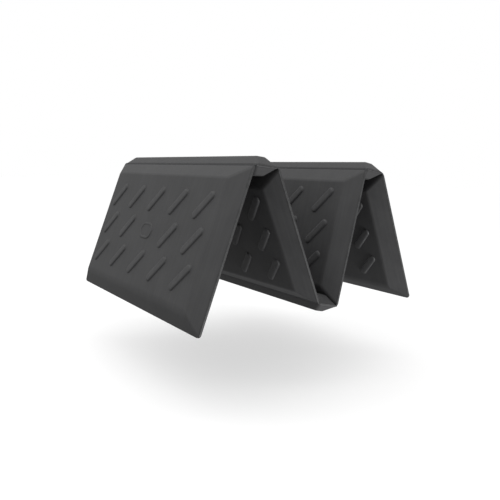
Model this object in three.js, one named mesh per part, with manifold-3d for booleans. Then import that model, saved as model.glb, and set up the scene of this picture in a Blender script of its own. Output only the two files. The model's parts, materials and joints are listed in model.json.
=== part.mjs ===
// Portable wheelchair ramp: four foam-cored panels joined by three hinge spines, standing in its zig-zag fold.
// Millimetres. +X runs across the folds from panel 1 to panel 4, +Y along the folds, +Z up.
import * as THREE from "three";
import { mergeVertices } from "three/addons/utils/BufferGeometryUtils.js";
import Module from "manifold-3d";

// Overall sizes.
const RAMP_WIDTH = 750; // along the folds, side edge to side edge
const INNER_PANEL_LENGTH = 400; // crease to crease
const END_PANEL_LENGTH = 432; // crease to toe

// Panel section.
const PANEL_THICKNESS = 60; // flat to flat, without the tread bars
const SIDE_BEVEL = 52; // width of the slope along a side edge
const CREASE_BEVEL = 45; // width of the slope next to a crease
const TOE_BEVEL = 44; // width of the slope at the ramp's two ends
const SKIN_WALL = 4; // wall of a moulded skin
const RIM_LAND = 8; // extra width of the rim on which the two skins meet
const BOARD_THICKNESS = 3;

// Tread bars.
const BAR_COLUMNS = 5;
const BAR_ROWS = 3;
const BAR_ROW_PITCH = 95;
const BAR_LENGTH = 98;
const BAR_BREADTH = 24;
const BAR_HEIGHT = 4.5;
const BAR_CHAMFER = 2;
const BAR_ROOT = 2; // how deep a bar is sunk into its skin, so that the two are one solid
const BAR_LEAN = -43; // degrees from the panel's length
const BADGE_LENGTH = 70; // plain raised pad in place of the middle bar of the first panel
const BADGE_BREADTH = 48;

// Hinges.
const WEB_THICKNESS = 3; // fabric-reinforced hinge web
const WEB_SIDE_INSET = 6; // the web stops short of the side edges
const WING_LENGTH = 70; // how far the web reaches into a panel
const WEB_TIP_ANGLE = 42; // slope of the web's wedge tip at a crease
const CREASE_SETBACK = 4; // bare web between a crease and a skin
const EDGE_LIP = 1; // how far a skin's edge stands above the web, at the creases and all round
const FOLD_CLEARANCE = 5; // between the tread bars of two panels folded flat together
const SPINE_THICKNESS = 48;
const SPINE_BEVEL = 22;
const SPINE_SIDE_BEVEL = 28;
const SPINE_WIDTH = PANEL_THICKNESS + 2 * BAR_HEIGHT + FOLD_CLEARANCE; // crease to crease

// Clearances.
const FIT_GAP = 0.3; // between pieces that touch
const AXIS_GAP = 0.2; // between a crease axis and the tip of a web

// Slopes at rest, in degrees from the floor, walking from panel 1 to panel 4.
// The end panels lean so that both toes stand on the same floor as the middle spine.
const SPINE_1_SLOPE = -5;
const PANEL_2_SLOPE = -66;
const SPINE_2_SLOPE = -13;
const PANEL_3_SLOPE = 77;
const SPINE_3_SLOPE = -9;

const HALF_WEB = WEB_THICKNESS / 2;
const HALF_PANEL = PANEL_THICKNESS / 2;
const HALF_SPINE = SPINE_THICKNESS / 2;
const SEAM = FIT_GAP / 2; // each skin stops this far from the middle plane
const SLOT_TOP = HALF_WEB + FIT_GAP;
const EDGE_TOP = SLOT_TOP + EDGE_LIP;
const RIM_WIDTH = RIM_LAND + SKIN_WALL;

// The kinds of edge: where its face stands, how high that face is, and where its slope ends.
const CREASE = { tip: CREASE_SETBACK, edge: EDGE_TOP, bevel: CREASE_BEVEL };
const TOE = { tip: 0, edge: EDGE_TOP, bevel: TOE_BEVEL };
const SIDE = { tip: 0, edge: EDGE_TOP, bevel: SIDE_BEVEL };
const SPINE_CREASE = { tip: CREASE_SETBACK, edge: EDGE_TOP, bevel: SPINE_BEVEL };
const SPINE_SIDE = { tip: 0, edge: EDGE_TOP, bevel: SPINE_SIDE_BEVEL };

const RUBBER = { color: 0x3c3d3e, roughness: 0.72, metalness: 0 };
const SPINE_RUBBER = { color: 0x434445, roughness: 0.68, metalness: 0 };
const WEB_FABRIC = { color: 0x1f2021, roughness: 0.85, metalness: 0 };
const FOAM = { color: 0x8c9094, roughness: 0.95, metalness: 0 };
const BOARD = { color: 0xb9a878, roughness: 0.6, metalness: 0 };

const wasm = await Module();
wasm.setup();

const radians = THREE.MathUtils.degToRad;

function solidOf(geometry) {
  const bare = geometry.clone();
  bare.deleteAttribute("normal");
  bare.deleteAttribute("uv");
  const merged = mergeVertices(bare, 1e-3);
  return new wasm.Manifold(
    new wasm.Mesh({
      numProp: 3,
      vertProperties: merged.attributes.position.array,
      triVerts: new Uint32Array(merged.index.array),
    }),
  );
}

function geometryOf(solid) {
  const { vertProperties, triVerts } = solid.getMesh();
  const indexed = new THREE.BufferGeometry();
  indexed.setAttribute("position", new THREE.BufferAttribute(vertProperties, 3));
  indexed.setIndex(new THREE.BufferAttribute(triVerts, 1));
  const geometry = indexed.toNonIndexed();
  geometry.computeVertexNormals();
  return geometry;
}

function shapeOf(points) {
  return new THREE.Shape(points.map(([x, y]) => new THREE.Vector2(x, y)));
}

// A member's own frame: +X along the ramp from its first edge, +Y along the folds, +Z out of its upper face.
// An outline in X and Z, drawn out along Y.
function prismAcross(points, from, to) {
  const prism = new THREE.ExtrudeGeometry(shapeOf(points), { depth: to - from, bevelEnabled: false });
  return prism.rotateX(Math.PI / 2).translate(0, to, 0);
}

// An outline in Y and Z, drawn out along X.
function prismAlong(points, length) {
  const prism = new THREE.ExtrudeGeometry(shapeOf(points), { depth: length, bevelEnabled: false });
  const turn = new THREE.Matrix4().makeBasis(
    new THREE.Vector3(0, 1, 0),
    new THREE.Vector3(0, 0, 1),
    new THREE.Vector3(1, 0, 0),
  );
  return prism.applyMatrix4(turn);
}

function boxBetween(low, high) {
  const size = high.map((value, axis) => value - low[axis]);
  const centre = high.map((value, axis) => (value + low[axis]) / 2);
  return new THREE.BoxGeometry(...size).translate(...centre);
}

// From the foot of an edge up to the flat. An inset outline runs that far inside the outer one,
// measured square to the slope and to the flat, and starts behind the rim.
function slopePoints({ tip, edge, bevel }, top, inset, base) {
  const grade = (top - edge) / (bevel - tip);
  const drop = inset * Math.hypot(1, grade);
  const foot = inset ? tip + RIM_LAND + inset : tip;
  const footHeight = edge + grade * (foot - tip) - drop;
  const shoulder = tip + (top - inset - edge + drop) / grade;
  return [
    [foot, base],
    [foot, footHeight],
    [shoulder, top - inset],
  ];
}

function halfOutline(span, start, end, top, inset, base) {
  const near = slopePoints(start, top, inset, base);
  const far = slopePoints(end, top, inset, base).map(([x, z]) => [span - x, z]);
  return [...near, ...far.reverse()];
}

// The upper half of a panel or spine: a low block with a slope along all four edges and mitred corners.
function halfBlock(member, inset, base) {
  const { length, start, end, side, top } = member;
  const along = solidOf(prismAcross(halfOutline(length, start, end, top, inset, base), 0, RAMP_WIDTH));
  const across = solidOf(prismAlong(halfOutline(RAMP_WIDTH, side, side, top, inset, base), length));
  return along.intersect(across);
}

function roundEndedBar(length, breadth, height, chamfer) {
  const radius = breadth / 2 - chamfer;
  const reach = (length - breadth) / 2;
  const outline = new THREE.Shape();
  outline.absarc(reach, 0, radius, -Math.PI / 2, Math.PI / 2);
  outline.absarc(-reach, 0, radius, Math.PI / 2, (3 * Math.PI) / 2);
  return new THREE.ExtrudeGeometry(outline, {
    depth: height - 2 * chamfer,
    curveSegments: 3,
    bevelSegments: 1,
    bevelThickness: chamfer,
    bevelSize: chamfer,
  }).translate(0, 0, chamfer);
}

function treadBar() {
  const bar = roundEndedBar(BAR_LENGTH, BAR_BREADTH, BAR_ROOT + BAR_HEIGHT + BAR_CHAMFER, BAR_CHAMFER);
  return bar.rotateZ(radians(BAR_LEAN)).translate(0, 0, -BAR_ROOT - BAR_CHAMFER);
}

function badge() {
  const pad = roundEndedBar(BADGE_LENGTH, BADGE_BREADTH, BAR_ROOT + BAR_HEIGHT, BAR_CHAMFER);
  return pad.rotateZ(Math.PI / 2).translate(0, 0, -BAR_ROOT - BAR_CHAMFER);
}

// The tread of one face: rows along the panel, centred on its flat, and columns across it.
function treadPieces(member, hasBadge) {
  const { length, start, end, side, top } = member;
  const columnPitch = (RAMP_WIDTH - 2 * side.bevel) / BAR_COLUMNS;
  const flatCentre = (start.bevel + length - end.bevel) / 2;
  const middleRow = (BAR_ROWS - 1) / 2;
  const middleColumn = (BAR_COLUMNS - 1) / 2;
  const pieces = [];
  for (let row = 0; row < BAR_ROWS; row++) {
    for (let column = 0; column < BAR_COLUMNS; column++) {
      const isMiddle = row === middleRow && column === middleColumn;
      const piece = hasBadge && isMiddle ? badge() : treadBar();
      const x = flatCentre + (row - middleRow) * BAR_ROW_PITCH;
      const y = side.bevel + (column + 0.5) * columnPitch;
      pieces.push(solidOf(piece.translate(x, y, top)));
    }
  }
  return pieces;
}

// Room for the hinge web where it is clamped between two skins.
function webSlot(from, to) {
  const low = [from, WEB_SIDE_INSET - FIT_GAP, -SLOT_TOP];
  const high = [to, RAMP_WIDTH - WEB_SIDE_INSET + FIT_GAP, SLOT_TOP];
  return solidOf(boxBetween(low, high));
}

function creaseSlots(member) {
  const reach = WING_LENGTH + FIT_GAP;
  const slots = [];
  if (member.start === CREASE) slots.push(webSlot(-reach, reach));
  if (member.end === CREASE) slots.push(webSlot(member.length - reach, member.length + reach));
  return slots;
}

function panelSkin(member, hasBadge) {
  let skin = halfBlock(member, 0, SEAM).subtract(halfBlock(member, SKIN_WALL, -HALF_PANEL));
  for (const slot of creaseSlots(member)) skin = skin.subtract(slot);
  for (const piece of treadPieces(member, hasBadge)) skin = skin.add(piece);
  return skin;
}

function panelCore(member) {
  return halfBlock(member, SKIN_WALL + FIT_GAP, SLOT_TOP);
}

function spineCap(member) {
  return halfBlock(member, 0, SEAM).subtract(webSlot(-member.length, 2 * member.length));
}

// The stiffening board fills the middle plane between the hinge webs, inside the skins' rims.
function loadBoard(member) {
  const margin = (end) => (end === CREASE ? WING_LENGTH : end.tip + RIM_WIDTH) + FIT_GAP;
  const side = RIM_WIDTH + FIT_GAP;
  const half = BOARD_THICKNESS / 2;
  return boxBetween(
    [margin(member.start), side, -half],
    [member.length - margin(member.end), RAMP_WIDTH - side, half],
  );
}

// A web has a wedge tip at each crease, so that the next length of web can fold up against it.
function webTip() {
  return AXIS_GAP + HALF_WEB / Math.tan(radians(WEB_TIP_ANGLE));
}

function wingOutline() {
  return [
    [AXIS_GAP, 0],
    [webTip(), HALF_WEB],
    [WING_LENGTH, HALF_WEB],
    [WING_LENGTH, -HALF_WEB],
    [webTip(), -HALF_WEB],
  ];
}

function webPrism(points) {
  return prismAcross(points, WEB_SIDE_INSET, RAMP_WIDTH - WEB_SIDE_INSET);
}

function startWing() {
  return webPrism(wingOutline());
}

function endWing(member) {
  return webPrism(wingOutline().map(([x, z]) => [member.length - x, z]));
}

function spineWeb(member) {
  const half = [
    [AXIS_GAP, 0],
    [webTip(), HALF_WEB],
  ];
  const upper = [...half, ...half.map(([x, z]) => [member.length - x, z]).reverse()];
  const lower = upper.slice(1, -1).map(([x, z]) => [x, -z]).reverse();
  return webPrism([...upper, ...lower]);
}

// Turns an upper piece over about the member's length, which makes the lower one: both come from one mould.
function turnedOver(geometry) {
  return geometry.rotateX(Math.PI).translate(0, RAMP_WIDTH, 0);
}

function addPiece(group, name, geometry, finish) {
  const mesh = new THREE.Mesh(geometry, new THREE.MeshStandardMaterial(finish));
  mesh.name = name;
  group.add(mesh);
}

function addPanel(group, member) {
  const { name, hasBadge } = member;
  addPiece(group, `${name}_upper_skin`, geometryOf(panelSkin(member, hasBadge)), RUBBER);
  addPiece(group, `${name}_lower_skin`, turnedOver(geometryOf(panelSkin(member, false))), RUBBER);
  addPiece(group, `${name}_upper_core`, geometryOf(panelCore(member)), FOAM);
  addPiece(group, `${name}_lower_core`, turnedOver(geometryOf(panelCore(member))), FOAM);
  addPiece(group, `${name}_load_board`, loadBoard(member), BOARD);
  if (member.startWeb) addPiece(group, member.startWeb, startWing(), WEB_FABRIC);
  if (member.endWeb) addPiece(group, member.endWeb, endWing(member), WEB_FABRIC);
}

function addSpine(group, member) {
  const { name } = member;
  addPiece(group, `${name}_upper_cap`, geometryOf(spineCap(member)), SPINE_RUBBER);
  addPiece(group, `${name}_lower_cap`, turnedOver(geometryOf(spineCap(member))), SPINE_RUBBER);
  addPiece(group, `${name}_web`, spineWeb(member), WEB_FABRIC);
}

function panel(name, length, start, end, slope, extras) {
  return { name, length, start, end, slope, side: SIDE, top: HALF_PANEL, build: addPanel, ...extras };
}

function spine(name, slope) {
  const section = { start: SPINE_CREASE, end: SPINE_CREASE, side: SPINE_SIDE, top: HALF_SPINE };
  return { name, length: SPINE_WIDTH, slope, build: addSpine, ...section };
}

const climb = (length, slope) => length * Math.sin(radians(slope));

// How far the middle spine's lowest corner hangs below its first crease.
function middleSpineDrop() {
  const corner = (x) => HALF_SPINE * Math.cos(radians(SPINE_2_SLOPE)) - climb(x, SPINE_2_SLOPE);
  return Math.max(corner(SPINE_BEVEL), corner(SPINE_WIDTH - SPINE_BEVEL));
}

// The lean of an end panel that hangs from a crease at this height and stands on the lower corner of its toe.
function standingSlope(creaseHeight) {
  const reach = Math.hypot(END_PANEL_LENGTH, EDGE_TOP);
  const corner = Math.atan2(EDGE_TOP, END_PANEL_LENGTH);
  return THREE.MathUtils.radToDeg(Math.asin(creaseHeight / reach) - corner);
}

const firstCreaseHeight =
  middleSpineDrop() - climb(INNER_PANEL_LENGTH, PANEL_2_SLOPE) - climb(SPINE_WIDTH, SPINE_1_SLOPE);
const lastCreaseHeight =
  middleSpineDrop() +
  climb(SPINE_WIDTH, SPINE_2_SLOPE) +
  climb(INNER_PANEL_LENGTH, PANEL_3_SLOPE) +
  climb(SPINE_WIDTH, SPINE_3_SLOPE);

const members = [
  panel("panel_1", END_PANEL_LENGTH, TOE, CREASE, standingSlope(firstCreaseHeight), {
    hasBadge: true,
    endWeb: "fold_1_web_left",
  }),
  spine("spine_1", SPINE_1_SLOPE),
  panel("panel_2", INNER_PANEL_LENGTH, CREASE, CREASE, PANEL_2_SLOPE, {
    startWeb: "fold_1_web_right",
    endWeb: "fold_2_web_left",
  }),
  spine("spine_2", SPINE_2_SLOPE),
  panel("panel_3", INNER_PANEL_LENGTH, CREASE, CREASE, PANEL_3_SLOPE, {
    startWeb: "fold_2_web_right",
    endWeb: "fold_3_web_left",
  }),
  spine("spine_3", SPINE_3_SLOPE),
  panel("panel_4", END_PANEL_LENGTH, CREASE, TOE, -standingSlope(lastCreaseHeight), {
    startWeb: "fold_3_web_right",
  }),
];

// Each member starts where the one before it ends, and is turned to its own slope.
function buildRamp() {
  const ramp = new THREE.Group();
  const crease = new THREE.Vector3();
  for (const member of members) {
    const group = new THREE.Group();
    group.name = member.name;
    member.build(group, member);
    group.position.copy(crease);
    group.rotation.y = -radians(member.slope);
    ramp.add(group);
    crease.x += member.length * Math.cos(radians(member.slope));
    crease.z += climb(member.length, member.slope);
  }
  return ramp;
}

// The origin is on the floor, under the middle of the standing ramp.
function standOnOrigin(ramp) {
  ramp.updateMatrixWorld(true);
  const bounds = new THREE.Box3().setFromObject(ramp, true);
  const centre = bounds.getCenter(new THREE.Vector3());
  ramp.position.set(-centre.x, -centre.y, -bounds.min.z);
  const placed = new THREE.Group();
  placed.add(ramp);
  return placed;
}

export default standOnOrigin(buildRamp());
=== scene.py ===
"""Portable wheelchair ramp in its zig-zag fold: rubber panels and hinge spines joined by folding webs."""

import json
import math
from collections import namedtuple

import bmesh
import bpy
from mathutils import Matrix, Vector


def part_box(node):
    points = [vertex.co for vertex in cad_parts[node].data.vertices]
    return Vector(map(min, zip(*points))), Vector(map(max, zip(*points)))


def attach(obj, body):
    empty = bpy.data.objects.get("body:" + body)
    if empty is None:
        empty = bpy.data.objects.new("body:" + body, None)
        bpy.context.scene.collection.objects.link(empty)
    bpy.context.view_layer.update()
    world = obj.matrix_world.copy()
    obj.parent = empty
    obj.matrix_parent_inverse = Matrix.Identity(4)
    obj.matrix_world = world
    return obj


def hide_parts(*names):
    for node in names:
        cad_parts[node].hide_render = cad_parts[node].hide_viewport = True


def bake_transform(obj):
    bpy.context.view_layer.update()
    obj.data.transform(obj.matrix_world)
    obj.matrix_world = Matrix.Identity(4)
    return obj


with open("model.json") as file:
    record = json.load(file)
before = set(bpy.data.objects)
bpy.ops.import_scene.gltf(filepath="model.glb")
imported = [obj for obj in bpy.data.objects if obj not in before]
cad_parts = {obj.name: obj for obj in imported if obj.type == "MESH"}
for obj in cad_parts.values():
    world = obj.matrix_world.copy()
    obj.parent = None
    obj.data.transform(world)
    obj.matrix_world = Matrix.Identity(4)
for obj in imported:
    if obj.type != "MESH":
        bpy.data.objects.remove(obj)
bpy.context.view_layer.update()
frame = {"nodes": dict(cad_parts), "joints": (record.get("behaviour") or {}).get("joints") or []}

MM = 0.001

# Camera: where it stands, and how it is turned.
CAMERA_PLACE = (-1.00107, -1.36226, 0.38623)
CAMERA_HEADING = math.radians(37.08)  # from +Y towards +X
CAMERA_DIP = math.radians(8.49)
CAMERA_ROLL = math.radians(1.71)
CAMERA_LENS = 37.13  # mm
CAMERA_SENSOR = 36  # mm

# Moulded parts. Lengths between creases come from the joints.
END_PANEL_LENGTH = 432 * MM
PANEL_TOP = 30 * MM  # from the middle plane to the flat
SPINE_TOP = 24 * MM
SKIN_WALL = 4 * MM
RIM_LAND = 8 * MM
EDGE_TOP = 2.8 * MM  # from the middle plane to where the slopes start
SEAM = 0.15 * MM  # from the middle plane to a half's open side
SLOT_TOP = 1.8 * MM
SLOT_REACH = 70.3 * MM
SLOT_SIDE = 5.7 * MM
CUTTER_MARGIN = 10 * MM

# An edge of a moulding: where its face stands, how high that face is, and where its slope ends.
Edge = namedtuple("Edge", "tip foot bevel")
CREASE = Edge(4 * MM, EDGE_TOP, 45 * MM)
TOE = Edge(0, EDGE_TOP, 44 * MM)
SIDE = Edge(0, EDGE_TOP, 52 * MM)
SPINE_CREASE = Edge(4 * MM, EDGE_TOP, 22 * MM)
SPINE_SIDE = Edge(0, EDGE_TOP, 28 * MM)

# How far each kind of corner is rounded back from its edge.
WIDEST_ROUND = 16 * MM
SHOULDER_ROUND = 5 * MM
TOE_SHOULDER_ROUND = 14 * MM
MITRE_ROUND = 6 * MM
PLAN_ROUND = 10 * MM
LIP_ROUND = 1 * MM
ROUND_STEPS = 5
NEAR = 0.01 * MM  # closer than this counts as the same place

# Tread bars, and the blank badge that takes the place of one of them.
# A dome lists its steps as (mm in, mm up).
BAR_COLUMNS = 5
BAR_ROWS = 3
BAR_ROW_PITCH = 95 * MM
BAR_LENGTH = 98 * MM
BAR_BREADTH = 24 * MM
BAR_ROOT = 1.5 * MM
BAR_LEAN = math.radians(-43)
BAR_SEGMENTS = 18
BAR_DOME = ((0.9, 0.35), (0.5, 1.0), (0.7, 1.25), (1.2, 1.0), (1.9, 0.6), (2.6, 0.25), (2.2, 0.05))
BAR_FLARE = 0.9 * MM  # how far the fillet at a pad's foot spreads
BADGE_LENGTH = 70 * MM
BADGE_BREADTH = 48 * MM
BADGE_SEGMENTS = 34
BADGE_RIM = ((0.9, 0.3), (0.5, 0.9), (0.8, 0.9), (1.4, 0.4), (2.2, 0.0), (1.4, -0.4), (0.8, -0.9))
BADGE_DOME = (*BADGE_RIM, (1.0, -0.2))

# Hinge webs.
WEB_THICKNESS = 3 * MM
WEB_INSET = 6 * MM
WEB_END_GAP = 1 * MM
WING_LENGTH = 70 * MM
WEB_BEND_REACH = 3 * MM  # from a crease to where its bend starts
WEB_BEND_STEPS = 8
WEB_BLEND_REACH = 4 * MM
WEB_MEETING_GAP = 0.2 * MM

# Faces that meet at more than this angle keep a sharp edge, in degrees.
MOULDING_SHARP_FROM = 50
WEB_SHARP_FROM = 40

# Rubber colours.
PANEL_DARK = (0.026, 0.026, 0.027)
PANEL_LIGHT = (0.040, 0.040, 0.041)
SPINE_DARK = (0.028, 0.028, 0.029)
SPINE_LIGHT = (0.043, 0.043, 0.044)
PANEL_ROUGHNESS = 0.62
SPINE_ROUGHNESS = 0.60

# Patterns: scales in cells per metre, and the pitch of the webs' threads.
GRAIN_SCALE = 1400
PEBBLE_SCALE = 420
PATCH_SCALE = 60
MOTTLE_SCALE = 11
STREAK_SCALE = (5, 120, 120)
FOAM_CELL_SCALE = 600
FIBRE_SCALE = (20, 260, 20)
THREAD_PITCH = 1.1 * MM

# Wear on the tread bars: the heights between which it fades in. Then how far the darkening along a side edge
# reaches.
BAR_WEAR_FROM = 2.2 * MM
BAR_WEAR_FULL = 4.6 * MM
EDGE_DARKENING_REACH = 6 * MM

FLOOR_DROP = 225 * MM
FLOOR_GLOW = 0.50  # keeps the shadow on the white floor pale
FLOOR_REACH = 30  # metres

# Directions between which the studio light changes, as the sine of the angle above the horizon.
HORIZON = (-0.8, 0.1)
ZENITH = (0.2, 0.9)
FRONT_LEFT_LEAN = 0.8  # weight of each of the two directions, front and left

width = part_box("panel_2_upper_skin")[1].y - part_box("panel_2_upper_skin")[0].y
first_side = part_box("panel_2_upper_skin")[0].y


def make_camera():
    camera = bpy.data.objects.new("camera", bpy.data.cameras.new("camera"))
    bpy.context.scene.collection.objects.link(camera)
    camera.data.sensor_width = CAMERA_SENSOR
    camera.data.lens = CAMERA_LENS
    turned = Matrix.Rotation(-CAMERA_HEADING, 4, "Z") @ Matrix.Rotation(math.pi / 2 - CAMERA_DIP, 4, "X")
    camera.matrix_world = Matrix.Translation(CAMERA_PLACE) @ turned @ Matrix.Rotation(CAMERA_ROLL, 4, "Z")
    bpy.context.scene.camera = camera


make_camera()

# ---------------------------------------------------------------- members

joints = {joint["name"]: joint for joint in frame["joints"]}


def crease_point(name):
    place = joints[name]["pos_m"]
    return Vector((place[0], first_side, place[2]))


def slope_between(start, end):
    return math.atan2(end.z - start.z, end.x - start.x)


class Member:
    """A panel or a spine.

    Its own frame has +X along the ramp, +Y along the folds and +Z out of its upper face.
    """

    def __init__(self, name, start, slope, length, top, first, last, side):
        self.name = name
        self.start = start
        self.slope = slope
        self.length = length
        self.top = top
        self.first = first
        self.last = last
        self.side = side
        self.matrix = Matrix.Translation(start) @ Matrix.Rotation(-slope, 4, "Y")
        self.turned_over = self.matrix @ Matrix.Translation((0, width, 0)) @ Matrix.Rotation(math.pi, 4, "X")


def between(name, start_joint, end_joint, top, edge, side):
    start = crease_point(start_joint)
    end = crease_point(end_joint)
    return Member(name, start, slope_between(start, end), (end - start).length, top, edge, edge, side)


def spine(number):
    start, end = f"fold_{number}_left", f"fold_{number}_right"
    return between(f"spine_{number}", start, end, SPINE_TOP, SPINE_CREASE, SPINE_SIDE)


def laid_flat_turn(joint):
    """How far an end panel is folded at rest: its joint's travel down to lying flat."""
    return -math.radians(joints[joint]["range_deg"][0])


spines = [spine(number) for number in (1, 2, 3)]
first_slope = spines[0].slope + laid_flat_turn("fold_1_left")
last_slope = spines[2].slope - laid_flat_turn("fold_3_right")
last_crease = crease_point("fold_3_right")
first_toe = spines[0].start - END_PANEL_LENGTH * Vector((math.cos(first_slope), 0, math.sin(first_slope)))
panels = [
    Member("panel_1", first_toe, first_slope, END_PANEL_LENGTH, PANEL_TOP, TOE, CREASE, SIDE),
    between("panel_2", "fold_1_right", "fold_2_left", PANEL_TOP, CREASE, SIDE),
    between("panel_3", "fold_2_right", "fold_3_left", PANEL_TOP, CREASE, SIDE),
    Member("panel_4", last_crease, last_slope, END_PANEL_LENGTH, PANEL_TOP, CREASE, TOE, SIDE),
]

# ---------------------------------------------------------------- meshes


def new_object(name, bm):
    mesh = bpy.data.meshes.new(name)
    bm.to_mesh(mesh)
    bm.free()
    made = bpy.data.objects.new(name, mesh)
    bpy.context.scene.collection.objects.link(made)
    return made


def add_box(bm, low, high):
    size = [b - a for a, b in zip(low, high)]
    centre = [(a + b) / 2 for a, b in zip(low, high)]
    cube = bmesh.ops.create_cube(bm, size=1)["verts"]
    bmesh.ops.scale(bm, vec=size, verts=cube)
    bmesh.ops.translate(bm, vec=centre, verts=cube)


def cut_away(bm, point, outward):
    """Cuts off what lies outside a plane and closes the cut."""
    everything = bm.verts[:] + bm.edges[:] + bm.faces[:]
    bmesh.ops.bisect_plane(
        bm, geom=everything, dist=1e-7, plane_co=point, plane_no=outward, clear_outer=True
    )
    bmesh.ops.holes_fill(bm, edges=[edge for edge in bm.edges if edge.is_boundary], sides=0)


def slope_plane(edge, top, inset):
    """A slope's plane as a point and an outward direction, both (in from the edge, up)."""
    outward = Vector((edge.foot - top, edge.bevel - edge.tip)).normalized()
    return Vector((edge.tip, edge.foot)) - inset * outward, outward


def half_block(member, inset=0.0, base=SEAM):
    """The upper half of a moulding: a low block with four slopes. With an inset, the hollow inside it."""
    ends = (member.first, member.last)
    near, far, side = [edge.tip + (RIM_LAND + inset if inset else 0) for edge in (*ends, member.side)]
    top = member.top - inset
    bm = bmesh.new()
    add_box(bm, (near, side, base), (member.length - far, width - side, top))
    slopes = (
        (0, member.first, 0),
        (0, member.last, member.length),
        (1, member.side, 0),
        (1, member.side, width),
    )
    for along, edge, span in slopes:
        (reach, height), (out, up) = slope_plane(edge, member.top, inset)
        point = Vector((0, 0, height))
        outward = Vector((0, 0, up))
        point[along] = span - reach if span else reach
        outward[along] = -out if span else out
        cut_away(bm, point, outward)
    bmesh.ops.recalc_face_normals(bm, faces=bm.faces[:])
    return bm


def rounding_of(edge, member):
    """How far this edge of a half block is rounded back, told from where it lies."""
    low, high = sorted(vert.co.z for vert in edge.verts)
    middle = (edge.verts[0].co + edge.verts[1].co) / 2

    def at_toe(reach):
        ends = ((member.first, reach), (member.last, member.length - reach))
        return any(ending is TOE and abs(middle.x - place) < NEAR for ending, place in ends)

    if high < SEAM + NEAR:
        return 0.0
    if low < SEAM + NEAR:
        return PLAN_ROUND if at_toe(TOE.tip) else LIP_ROUND
    if high < EDGE_TOP + NEAR:
        return LIP_ROUND
    if low < member.top - NEAR:
        return MITRE_ROUND
    return TOE_SHOULDER_ROUND if at_toe(TOE.bevel) else SHOULDER_ROUND


def weigh_edges(bm, member):
    weight = bm.edges.layers.float.new("bevel_weight_edge")
    for edge in bm.edges:
        edge[weight] = rounding_of(edge, member) / WIDEST_ROUND


def rounded_pad(bm, length, breadth, flare, segments, dome, place):
    """A round-ended raised pad: an outline sunk in the skin, then a ladder of insets up and over its top."""
    ring = bmesh.ops.create_circle(bm, cap_ends=True, radius=breadth / 2 + flare, segments=segments)["verts"]
    reach = (length - breadth) / 2
    for way in (1, -1):
        bmesh.ops.translate(bm, vec=(0, way * reach, 0), verts=[vert for vert in ring if vert.co.y * way > 0])
    face = ring[0].link_faces[0]
    if face.normal.z < 0:
        bmesh.ops.reverse_faces(bm, faces=[face])
    grown = bmesh.ops.extrude_face_region(bm, geom=[face], use_keep_orig=True)["geom"]
    top = next(item for item in grown if isinstance(item, bmesh.types.BMFace))
    raised = top.verts[:]
    bmesh.ops.reverse_faces(bm, faces=[face])
    bmesh.ops.translate(bm, vec=(0, 0, BAR_ROOT), verts=raised)
    for inwards, rise in dome:
        bmesh.ops.inset_region(
            bm, faces=[top], thickness=inwards * MM, depth=rise * MM, use_even_offset=True, use_boundary=True
        )
    pad = set()
    frontier = [top]
    while frontier:
        reached = frontier.pop()
        if reached in pad:
            continue
        pad.add(reached)
        frontier.extend(other for edge in reached.edges for other in edge.link_faces)
    verts = list({vert for part in pad for vert in part.verts})
    bmesh.ops.transform(bm, matrix=place @ Matrix.Translation((0, 0, -BAR_ROOT)), verts=verts)


def tread(member, has_badge):
    """The raised pieces of one face: rows centred on its flat, columns spread across it."""
    column_pitch = (width - 2 * member.side.bevel) / BAR_COLUMNS
    flat_centre = (member.first.bevel + member.length - member.last.bevel) / 2
    lean = Matrix.Rotation(BAR_LEAN - math.pi / 2, 4, "Z")
    bm = bmesh.new()
    for row in range(BAR_ROWS):
        for column in range(BAR_COLUMNS):
            x = flat_centre + (row - (BAR_ROWS - 1) / 2) * BAR_ROW_PITCH
            y = member.side.bevel + (column + 0.5) * column_pitch
            place = Matrix.Translation((x, y, member.top))
            middle = row == BAR_ROWS // 2 and column == BAR_COLUMNS // 2
            if has_badge and middle:
                rounded_pad(bm, BADGE_LENGTH, BADGE_BREADTH, BAR_FLARE, BADGE_SEGMENTS, BADGE_DOME, place)
            else:
                rounded_pad(bm, BAR_LENGTH, BAR_BREADTH, BAR_FLARE, BAR_SEGMENTS, BAR_DOME, place @ lean)
    bmesh.ops.recalc_face_normals(bm, faces=bm.faces[:])
    return bm


def web_slots(member):
    """Room for the hinge webs between two halves."""
    bm = bmesh.new()
    low_y, high_y = SLOT_SIDE, width - SLOT_SIDE
    if member in spines:
        past_end = member.length + CUTTER_MARGIN
        add_box(bm, (-CUTTER_MARGIN, low_y, -CUTTER_MARGIN), (past_end, high_y, SLOT_TOP))
        return bm
    if member.first == CREASE:
        add_box(bm, (-CUTTER_MARGIN, low_y, -CUTTER_MARGIN), (SLOT_REACH, high_y, SLOT_TOP))
    if member.last == CREASE:
        start = member.length - SLOT_REACH
        add_box(bm, (start, low_y, -CUTTER_MARGIN), (member.length + CUTTER_MARGIN, high_y, SLOT_TOP))
    return bm


def settled(made):
    """The object's mesh with its modifiers worked in."""
    bpy.context.view_layer.update()
    mesh = bpy.data.meshes.new_from_object(made.evaluated_get(bpy.context.evaluated_depsgraph_get()))
    made.modifiers.clear()
    mesh.name = made.name
    made.data = mesh
    return made


def add_boolean(made, tool, operation):
    cut = made.modifiers.new(operation.lower(), "BOOLEAN")
    cut.operation = operation
    cut.solver = "EXACT"
    cut.object = tool


def shade_smooth(made, sharp_from):
    for face in made.data.polygons:
        face.use_smooth = True
    made.data.set_sharp_from_angle(angle=math.radians(sharp_from))


def keep_flats_even(made):
    weighted = made.modifiers.new("even shading", "WEIGHTED_NORMAL")
    weighted.keep_sharp = True


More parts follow.
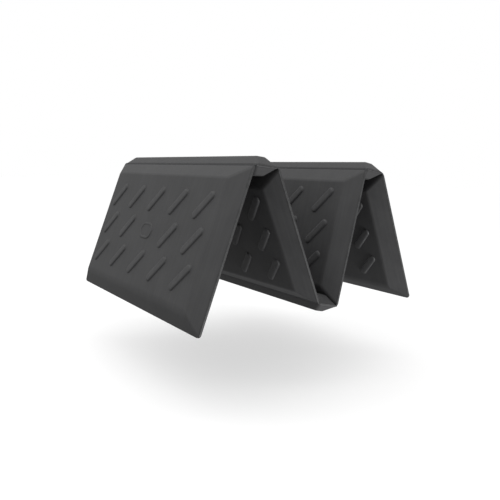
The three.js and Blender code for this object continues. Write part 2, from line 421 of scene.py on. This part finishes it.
def moulding(name, member, is_panel, has_badge, place):
    """One skin or cap: a rounded half block, its tread raised, its inside hollowed, its web slots cut."""
    bm = half_block(member)
    weigh_edges(bm, member)
    made = new_object(name, bm)
    rounding = made.modifiers.new("rounding", "BEVEL")
    rounding.limit_method = "WEIGHT"
    rounding.width = WIDEST_ROUND
    rounding.segments = ROUND_STEPS
    rounding.profile = 0.5
    rounding.use_clamp_overlap = False
    tools = []
    if is_panel:
        hollow = half_block(member, SKIN_WALL, -CUTTER_MARGIN)
        tools.append((new_object(name + "_tread", tread(member, has_badge)), "UNION"))
        tools.append((new_object(name + "_hollow", hollow), "DIFFERENCE"))
    tools.append((new_object(name + "_slots", web_slots(member)), "DIFFERENCE"))
    for tool, operation in tools:
        add_boolean(made, tool, operation)
    settled(made)
    for tool, _ in tools:
        bpy.data.objects.remove(tool)
    made.data.transform(place)
    shade_smooth(made, MOULDING_SHARP_FROM)
    keep_flats_even(made)
    return made


def put_in_order(bm):
    """Orders edges and faces by their corners: extruding several edges at once leaves them in any order."""
    bm.verts.index_update()

    def by_corners(item):
        key = 0
        for index in sorted(vert.index for vert in item.verts):
            key = key * len(bm.verts) + index
        return key

    bm.edges.sort(key=by_corners)
    bm.faces.sort(key=by_corners)


def hinge_web(name, before, after, reach_before, reach_after):
    """A folding web over one crease: straight wings joined by a small bend."""
    bend = after.slope - before.slope
    radius = WEB_BEND_REACH / math.tan(abs(bend) / 2)
    bm = bmesh.new()
    ends = [bm.verts.new((-reach_before, y, 0)) for y in (WEB_INSET, width - WEB_INSET)]
    line = [bm.edges.new(ends)]

    def draw_on(edges, vec):
        grown = bmesh.ops.extrude_edge_only(bm, edges=edges)["geom"]
        moved = [item for item in grown if isinstance(item, bmesh.types.BMVert)]
        bmesh.ops.translate(bm, vec=vec, verts=moved)
        return [item for item in grown if isinstance(item, bmesh.types.BMEdge)]

    line = draw_on(line, (reach_before - WEB_BLEND_REACH, 0, 0))
    line = draw_on(line, (WEB_BLEND_REACH - WEB_BEND_REACH, 0, 0))
    spun = bmesh.ops.spin(
        bm,
        geom=line + list(dict.fromkeys(vert for edge in line for vert in edge.verts)),
        cent=(-WEB_BEND_REACH, 0, math.copysign(radius, bend)),
        axis=(0, 1, 0),
        angle=-bend,
        steps=WEB_BEND_STEPS,
    )["geom_last"]
    line = [item for item in spun if isinstance(item, bmesh.types.BMEdge)]
    onward = Vector((math.cos(bend), 0, math.sin(bend)))
    line = draw_on(line, onward * (WEB_BLEND_REACH - WEB_BEND_REACH))
    line = draw_on(line, onward * (reach_after - WEB_BLEND_REACH))
    bmesh.ops.remove_doubles(bm, verts=bm.verts[:], dist=1e-6)

    def bare_at(vert, y):
        by_crease = math.hypot(vert.co.x, vert.co.z) < WEB_BLEND_REACH + NEAR
        return by_crease and abs(vert.co.y - y) < NEAR

    for y, way in ((WEB_INSET, -1), (width - WEB_INSET, 1)):
        outer = [edge for edge in bm.edges if edge.is_boundary]
        open_edges = [edge for edge in outer if all(bare_at(vert, y) for vert in edge.verts)]
        draw_on(open_edges, (0, way * (WEB_INSET - WEB_END_GAP), 0))
    put_in_order(bm)
    bmesh.ops.recalc_face_normals(bm, faces=bm.faces[:])
    made = new_object(name, bm)
    wall = made.modifiers.new("wall", "SOLIDIFY")
    wall.thickness = WEB_THICKNESS
    wall.offset = 0
    wall.use_even_offset = True
    settled(made)
    made.data.transform(Matrix.Translation(after.start) @ Matrix.Rotation(-before.slope, 4, "Y"))
    rest_place = made.data.attributes.new("rest_place", "FLOAT_VECTOR", "POINT")
    for vert, item in zip(made.data.vertices, rest_place.data):
        item.vector = vert.co
    shade_smooth(made, WEB_SHARP_FROM)
    return made


# ---------------------------------------------------------------- finishes


class Value:
    """A shader number. Python's operators on it add Math nodes."""

    def __init__(self, nodes, socket):
        self.nodes = nodes
        self.socket = socket

    def math(self, operation, *others):
        return self.nodes.node("ShaderNodeMath", {"operation": operation}, dict(enumerate((self, *others))))

    def __add__(self, other):
        return self.math("ADD", other)

    __radd__ = __add__

    def __sub__(self, other):
        return self.math("SUBTRACT", other)

    def __rsub__(self, other):
        return self.math("SUBTRACT", other).math("MULTIPLY", -1)

    def __mul__(self, other):
        return self.math("MULTIPLY", other)

    __rmul__ = __mul__

    def __abs__(self):
        return self.math("ABSOLUTE")

    def rising(self, low, high):
        """0 below low, 1 above high, smooth between."""
        inputs = {"Value": self, "From Min": low, "From Max": high}
        return self.nodes.node("ShaderNodeMapRange", {"interpolation_type": "SMOOTHSTEP"}, inputs)


class Nodes:
    """The nodes of one material, or of the world."""

    def __init__(self, owner):
        self.owner = owner
        owner.use_nodes = True
        self.tree = owner.node_tree
        self.tree.nodes.clear()

    def node(self, kind, settings=None, inputs=None, output=0):
        """Adds a node: its type, its settings, then the values or links of its sockets."""
        made = self.tree.nodes.new(kind)
        for key, value in (settings or {}).items():
            setattr(made, key, value)
        for key, value in (inputs or {}).items():
            if isinstance(value, Value):
                self.tree.links.new(value.socket, made.inputs[key])
            else:
                made.inputs[key].default_value = value
        return None if output is None else Value(self, made.outputs[output])

    def noise(self, place, scale, detail=3.0, roughness=0.55):
        inputs = {"Vector": place, "Scale": scale, "Detail": detail, "Roughness": roughness}
        return self.node("ShaderNodeTexNoise", {}, inputs)

    def stretched(self, place, scale):
        return self.node("ShaderNodeVectorMath", {"operation": "MULTIPLY"}, {0: place, 1: scale})

    def parts(self, place):
        split = self.node("ShaderNodeSeparateXYZ", {}, {0: place}).socket.node
        return [Value(self, socket) for socket in split.outputs]

    def colours(self, amount, first, second):
        """A colour from first to second; either may be a tuple or a link."""
        first, second = [value if isinstance(value, Value) else (*value, 1) for value in (first, second)]
        return self.node("ShaderNodeMix", {"data_type": "RGBA"}, {0: amount, 6: first, 7: second}, output=2)

    def bump(self, height, distance, strength=1.0, under=None):
        inputs = {"Height": height, "Distance": distance, "Strength": strength}
        if under is not None:
            inputs["Normal"] = under
        return self.node("ShaderNodeBump", {}, inputs)

    def surface(self, **inputs):
        named = {key.replace("_", " "): value for key, value in inputs.items()}
        self.finish_with(self.node("ShaderNodeBsdfPrincipled", {}, named), "ShaderNodeOutputMaterial")
        return self.owner

    def finish_with(self, shader, kind):
        self.node(kind, {}, {"Surface": shader}, output=None)


def member_place(finish, member):
    """Object coordinates turned into the member's own frame."""
    place = finish.node("ShaderNodeTexCoord", output=3)
    inputs = {"Vector": place, "Location": member.start, "Rotation": (0, -member.slope, 0)}
    return finish.node("ShaderNodeMapping", {"vector_type": "TEXTURE"}, inputs)


def moulded_rubber(name, member, dark, light, roughness):
    """Matt charcoal rubber: fine mould grain, flow streaks, mottling, scuffed bars, edges darker in patches.
    """
    finish = Nodes(bpy.data.materials.new(name))
    place = member_place(finish, member)
    _, across, up = finish.parts(place)
    grain = finish.noise(place, GRAIN_SCALE, 2.0, 0.6)
    pebble = finish.noise(place, PEBBLE_SCALE, 3.0, 0.6)
    mottle = finish.noise(place, MOTTLE_SCALE, 4.0, 0.55)
    streaks = finish.noise(finish.stretched(place, STREAK_SCALE), 1.0, 4.0, 0.6)
    on_bars = abs(up).rising(member.top + BAR_WEAR_FROM, member.top + BAR_WEAR_FULL)
    first_side_clear = across.rising(0, EDGE_DARKENING_REACH)
    last_side_clear = (width - across).rising(0, EDGE_DARKENING_REACH)
    on_edges = 1 - first_side_clear * last_side_clear
    patchy = finish.noise(place, PATCH_SCALE, 3.0, 0.7).rising(0.42, 0.66)
    scuff = on_bars * 0.55 * (0.35 + patchy * 0.65)
    tone = mottle * 0.5 + streaks * 0.3 + grain * 0.2
    base = finish.colours(tone.rising(0.3, 0.7), dark, light)
    scuffed = finish.colours(scuff * 0.6, base, [shade * 1.5 for shade in light])
    # Darkens the colour in patches within a few millimetres of both side edges.
    colour = finish.colours(on_edges * (0.5 + patchy * 0.5), scuffed, [shade * 0.55 for shade in dark])
    relief = finish.bump(streaks, 0.25 * MM, 0.35)
    relief = finish.bump(pebble, 0.12 * MM, 0.5, relief)
    relief = finish.bump(grain, 0.06 * MM, 0.5, relief)
    gloss = roughness + (mottle - 0.5) * 0.14 + (pebble - 0.5) * 0.08 - scuff * 0.1
    return finish.surface(Base_Color=colour, Roughness=gloss, Normal=relief, Specular_IOR_Level=0.42)


def woven_web(name):
    """Rubberised woven fabric: a fine plain weave, slightly filled with rubber."""
    finish = Nodes(bpy.data.materials.new(name))
    place = finish.node("ShaderNodeAttribute", {"attribute_name": "rest_place"}, output=1)
    along, across, up = finish.parts(place)
    threads = 2 * math.pi / THREAD_PITCH
    warp = ((along + up) * threads).math("SINE")
    weft = (across * threads).math("SINE")
    weave = (warp * weft + 1) * 0.5
    mottle = finish.noise(place, 30, 3.0)
    base = finish.colours((mottle * 0.6 + weave * 0.4), (0.018, 0.018, 0.019), (0.040, 0.040, 0.042))
    relief = finish.bump(weave, 0.15 * MM, 0.7)
    gloss = 0.72 + mottle * 0.15
    return finish.surface(Base_Color=base, Roughness=gloss, Normal=relief, Specular_IOR_Level=0.35)


def cell_foam(name):
    """Closed-cell foam: pale grey with fine cells."""
    finish = Nodes(bpy.data.materials.new(name))
    place = finish.node("ShaderNodeTexCoord", output=3)
    inputs = {"Vector": place, "Scale": FOAM_CELL_SCALE}
    cells = finish.node("ShaderNodeTexVoronoi", {"feature": "F1"}, inputs)
    mottle = finish.noise(place, 14, 3.0)
    base = finish.colours(mottle * 0.7 + cells * 0.3, (0.20, 0.21, 0.22), (0.36, 0.37, 0.38))
    relief = finish.bump(cells, 0.3 * MM, 0.6)
    return finish.surface(Base_Color=base, Roughness=0.88 + mottle * 0.1, Normal=relief)


def laminate_board(name):
    """Stiffening board: a bonded laminate with a long, fine grain."""
    finish = Nodes(bpy.data.materials.new(name))
    place = finish.node("ShaderNodeTexCoord", output=3)
    fibres = finish.noise(finish.stretched(place, FIBRE_SCALE), 1.0, 5.0, 0.65)
    mottle = finish.noise(place, 8, 3.0)
    base = finish.colours(fibres * 0.7 + mottle * 0.3, (0.30, 0.22, 0.11), (0.52, 0.42, 0.26))
    relief = finish.bump(fibres, 0.2 * MM, 0.5)
    return finish.surface(Base_Color=base, Roughness=0.5 + fibres * 0.2, Normal=relief)


def pale_floor(name):
    finish = Nodes(bpy.data.materials.new(name))
    place = finish.node("ShaderNodeTexCoord", output=3)
    mottle = finish.noise(place, 0.8, 2.0)
    base = finish.colours(mottle, (0.49, 0.49, 0.49), (0.51, 0.51, 0.51))
    return finish.surface(
        Base_Color=base,
        Roughness=0.9 + mottle * 0.05,
        Specular_IOR_Level=0.1,
        Emission_Color=(1, 1, 1, 1),
        Emission_Strength=FLOOR_GLOW,
    )


def dress(made, material):
    made.data.materials.clear()
    made.data.materials.append(material)


# ---------------------------------------------------------------- the ramp


def add_halves(member, kind, is_panel, material):
    for half, place in (("upper", member.matrix), ("lower", member.turned_over)):
        name = f"{member.name}_{half}_{kind}"
        has_badge = name == "panel_1_upper_skin"
        made = moulding("moulded_" + name, member, is_panel, has_badge, place)
        dress(made, material)
        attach(made, member.name)
        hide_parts(name)


for panel in panels:
    rubber = moulded_rubber(f"{panel.name}_rubber", panel, PANEL_DARK, PANEL_LIGHT, PANEL_ROUGHNESS)
    add_halves(panel, "skin", True, rubber)
for spine_member in spines:
    name = f"{spine_member.name}_rubber"
    rubber = moulded_rubber(name, spine_member, SPINE_DARK, SPINE_LIGHT, SPINE_ROUGHNESS)
    add_halves(spine_member, "cap", False, rubber)

web_finish = woven_web("woven_web")
half_spine = spines[0].length / 2 - WEB_MEETING_GAP / 2
for number in (1, 2, 3):
    left_panel, mid_spine, right_panel = panels[number - 1], spines[number - 1], panels[number]
    for side, before, after, reaches in (
        ("left", left_panel, mid_spine, (WING_LENGTH, half_spine)),
        ("right", mid_spine, right_panel, (half_spine, WING_LENGTH)),
    ):
        made = hinge_web(f"crease_{number}_{side}_web", before, after, *reaches)
        dress(made, web_finish)
        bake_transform(made)
        replaced = [f"fold_{number}_web_{side}"] + ([f"spine_{number}_web"] if side == "left" else [])
        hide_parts(*replaced)

foam = cell_foam("cell_foam")
board = laminate_board("laminate_board")
for name, node in frame["nodes"].items():
    if name.endswith("_core"):
        dress(node, foam)
    elif name.endswith("_load_board"):
        dress(node, board)

# ---------------------------------------------------------------- studio


def add_floor():
    """A white floor that light passes through from below and that doesn't light the ramp's underside."""
    bm = bmesh.new()
    bmesh.ops.create_grid(bm, x_segments=1, y_segments=1, size=FLOOR_REACH)
    bmesh.ops.translate(bm, vec=(0, 0, -FLOOR_DROP), verts=bm.verts[:])
    floor = new_object("floor", bm)
    dress(floor, pale_floor("pale_floor"))
    floor.visible_diffuse = False
    floor.visible_glossy = False
    floor.visible_shadow = False


def add_light(name, place, heading, tilt, size, power):
    """A soft lamp. Heading turns it from +Y towards +X; tilt, in degrees, lifts it from straight down."""
    light = bpy.data.lights.new(name, "AREA")
    light.shape = "ELLIPSE"
    light.size, light.size_y = size
    light.energy = power
    lamp = bpy.data.objects.new(name, light)
    bpy.context.scene.collection.objects.link(lamp)
    turned = Matrix.Rotation(-heading, 4, "Z") @ Matrix.Rotation(math.radians(tilt), 4, "X")
    lamp.matrix_world = Matrix.Translation(place) @ turned


def light_world(above, around, below):
    """Soft light, most from above and then from the front left, with a plain white backdrop."""
    world = bpy.data.worlds.new("studio")
    bpy.context.scene.world = world
    studio = Nodes(world)
    across, away, up = studio.parts(studio.node("ShaderNodeTexCoord"))
    facing = (away * -FRONT_LEFT_LEAN - across * FRONT_LEFT_LEAN).rising(-1.0, 1.0)
    level = up.rising(*HORIZON) * (around - below) * (0.7 + facing * 0.6)
    strength = level + up.rising(*ZENITH) * (above - around) + below
    lighting = studio.node("ShaderNodeBackground", {}, {"Color": (1, 1, 1, 1), "Strength": strength})
    backdrop = studio.node("ShaderNodeBackground", {}, {"Color": (1, 1, 1, 1), "Strength": 1.0})
    seen = studio.node("ShaderNodeLightPath")
    mixed = studio.node("ShaderNodeMixShader", {}, {0: seen, 1: lighting, 2: backdrop})
    studio.finish_with(mixed, "ShaderNodeOutputWorld")


add_floor()
add_light("overhead", place=(-2.3, 0.45, 3.4), heading=CAMERA_HEADING, tilt=0, size=(7.5, 1.2), power=64)
add_light(
    "low front", place=(0.75, -2.7, -1.7), heading=math.radians(-15.5), tilt=124, size=(1.2, 1.0), power=130
)
light_world(above=1.15, around=0.74, below=0.2)

scene = bpy.context.scene
scene.view_settings.view_transform = "Standard"
scene.view_settings.look = "None"
